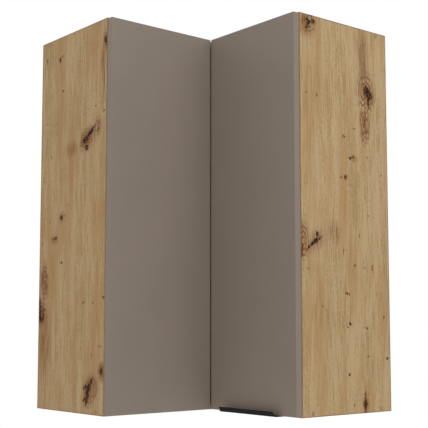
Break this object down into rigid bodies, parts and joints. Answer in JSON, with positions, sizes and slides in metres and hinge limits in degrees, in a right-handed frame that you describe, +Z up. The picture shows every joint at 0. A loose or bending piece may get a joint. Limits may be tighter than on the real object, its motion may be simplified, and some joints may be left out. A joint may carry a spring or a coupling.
{
  "type": "corner wall cabinet",
  "caption": "L-shaped corner wall cabinet with oak end panels, loose shelves and a folding pair of flat doors that open together on concealed linked hinges.",
  "frame": {"origin": "the room corner at the cabinet's bottom: where the two walls that it hangs on meet", "axes": "+X along the back wall to the right, -Y along the left wall towards the room, +Z up"},
  "size_m": [0.6, 0.6, 0.9],
  "materials": {
    "oak_decor_chipboard": "knotty oak decor paper on chipboard, matt, with matching edge band",
    "matt_taupe_laminate": "flat matt taupe laminate on chipboard, edge band in the same colour",
    "white_hardboard": "white lacquered thin hardboard, smooth",
    "nickel_plated_steel": "pressed steel, nickel plated, satin",
    "zinc_plated_steel": "zinc plated steel, bright",
    "black_anodised_aluminium": "fine matt black anodised",
    "white_plastic": "moulded plastic, fine texture",
    "clear_gel": "soft clear button"
  },
  "bodies": {
    "carcass": {"left_end_panel": "oak_decor_chipboard", "right_end_panel": "oak_decor_chipboard", "bottom_panel": "oak_decor_chipboard", "top_panel": "oak_decor_chipboard", "lower_shelf": "oak_decor_chipboard", "upper_shelf": "oak_decor_chipboard", "left_back_panel": "white_hardboard", "right_back_panel": "white_hardboard", "rear_corner_post": "oak_decor_chipboard", "left_hanger_housing": "white_plastic", "left_hanger_hook": "zinc_plated_steel", "right_hanger_housing": "white_plastic", "right_hanger_hook": "zinc_plated_steel", "left_rear_bottom_screw": "zinc_plated_steel", "left_rear_top_screw": "zinc_plated_steel", "left_rear_lower_shelf_pin": "nickel_plated_steel", "left_rear_upper_shelf_pin": "nickel_plated_steel", "left_front_bottom_screw": "zinc_plated_steel", "left_front_top_screw": "zinc_plated_steel", "left_front_lower_shelf_pin": "nickel_plated_steel", "left_front_upper_shelf_pin": "nickel_plated_steel", "right_rear_bottom_screw": "zinc_plated_steel", "right_rear_top_screw": "zinc_plated_steel", "right_rear_lower_shelf_pin": "nickel_plated_steel", "right_rear_upper_shelf_pin": "nickel_plated_steel", "right_front_bottom_screw": "zinc_plated_steel", "right_front_top_screw": "zinc_plated_steel", "right_front_lower_shelf_pin": "nickel_plated_steel", "right_front_upper_shelf_pin": "nickel_plated_steel", "corner_lower_shelf_pin": "nickel_plated_steel", "lower_side_hinge_plate": "nickel_plated_steel", "lower_side_hinge_arm": "nickel_plated_steel", "corner_upper_shelf_pin": "nickel_plated_steel", "upper_side_hinge_plate": "nickel_plated_steel", "upper_side_hinge_arm": "nickel_plated_steel"},
    "left_door": {"left_door": "matt_taupe_laminate", "lower_side_hinge_cup": "nickel_plated_steel", "lower_corner_hinge_plate": "nickel_plated_steel", "lower_corner_hinge_arm": "nickel_plated_steel", "upper_side_hinge_cup": "nickel_plated_steel", "upper_corner_hinge_plate": "nickel_plated_steel", "upper_corner_hinge_arm": "nickel_plated_steel"},
    "right_door": {"right_door": "matt_taupe_laminate", "edge_handle": "black_anodised_aluminium", "lower_door_bumper": "clear_gel", "upper_door_bumper": "clear_gel", "lower_corner_hinge_cup": "nickel_plated_steel", "upper_corner_hinge_cup": "nickel_plated_steel"},
    "lower_side_inner_link": {"lower_side_hinge_inner_link": "nickel_plated_steel"},
    "lower_side_outer_link": {"lower_side_hinge_outer_link": "nickel_plated_steel"},
    "lower_corner_inner_link": {"lower_corner_hinge_inner_link": "nickel_plated_steel"},
    "lower_corner_outer_link": {"lower_corner_hinge_outer_link": "nickel_plated_steel"},
    "upper_side_inner_link": {"upper_side_hinge_inner_link": "nickel_plated_steel"},
    "upper_side_outer_link": {"upper_side_hinge_outer_link": "nickel_plated_steel"},
    "upper_corner_inner_link": {"upper_corner_hinge_inner_link": "nickel_plated_steel"},
    "upper_corner_outer_link": {"upper_corner_hinge_outer_link": "nickel_plated_steel"}
  },
  "joints": [
    {"name": "left_door_swing", "type": "hinge", "parent": "carcass", "child": "left_door", "pos_m": [0.3085, -0.599, 0.45], "axis": [0, 0, -1], "range_deg": [0, 155]},
    {"name": "right_door_fold", "type": "hinge", "parent": "left_door", "child": "right_door", "pos_m": [0.309, -0.309, 0.45], "axis": [0, 0, 1], "range_deg": [0, 90]},
    {"name": "lower_side_inner_link_turn", "type": "hinge", "parent": "carcass", "child": "lower_side_inner_link", "pos_m": [0.2865, -0.557, 0.1], "axis": [0, 0, -1], "range_deg": [0, 155]},
    {"name": "lower_side_outer_link_turn", "type": "hinge", "parent": "lower_side_inner_link", "child": "lower_side_outer_link", "pos_m": [0.2645, -0.532, 0.1], "axis": [0, 0, 1], "range_deg": [0, 155]},
    {"name": "lower_corner_inner_link_turn", "type": "hinge", "parent": "left_door", "child": "lower_corner_inner_link", "pos_m": [0.28, -0.28, 0.1], "axis": [0, 0, 1], "range_deg": [0, 90]},
    {"name": "lower_corner_outer_link_turn", "type": "hinge", "parent": "lower_corner_inner_link", "child": "lower_corner_outer_link", "pos_m": [0.302, -0.2685, 0.1], "axis": [0, 0, -1], "range_deg": [0, 90]},
    {"name": "upper_side_inner_link_turn", "type": "hinge", "parent": "carcass", "child": "upper_side_inner_link", "pos_m": [0.2865, -0.557, 0.8], "axis": [0, 0, -1], "range_deg": [0, 155]},
    {"name": "upper_side_outer_link_turn", "type": "hinge", "parent": "upper_side_inner_link", "child": "upper_side_outer_link", "pos_m": [0.2645, -0.532, 0.8], "axis": [0, 0, 1], "range_deg": [0, 155]},
    {"name": "upper_corner_inner_link_turn", "type": "hinge", "parent": "left_door", "child": "upper_corner_inner_link", "pos_m": [0.28, -0.28, 0.8], "axis": [0, 0, 1], "range_deg": [0, 90]},
    {"name": "upper_corner_outer_link_turn", "type": "hinge", "parent": "upper_corner_inner_link", "child": "upper_corner_outer_link", "pos_m": [0.302, -0.2685, 0.8], "axis": [0, 0, -1], "range_deg": [0, 90]}
  ],
  "couplings": [
    {"joint": "right_door_fold", "follows": "left_door_swing", "ratio": 0.58},
    {"joint": "lower_side_inner_link_turn", "follows": "left_door_swing", "ratio": 1},
    {"joint": "lower_side_outer_link_turn", "follows": "left_door_swing", "ratio": 1},
    {"joint": "lower_corner_inner_link_turn", "follows": "left_door_swing", "ratio": 0.58},
    {"joint": "lower_corner_outer_link_turn", "follows": "left_door_swing", "ratio": 0.58},
    {"joint": "upper_side_inner_link_turn", "follows": "left_door_swing", "ratio": 1},
    {"joint": "upper_side_outer_link_turn", "follows": "left_door_swing", "ratio": 1},
    {"joint": "upper_corner_inner_link_turn", "follows": "left_door_swing", "ratio": 0.58},
    {"joint": "upper_corner_outer_link_turn", "follows": "left_door_swing", "ratio": 0.58}
  ]
}
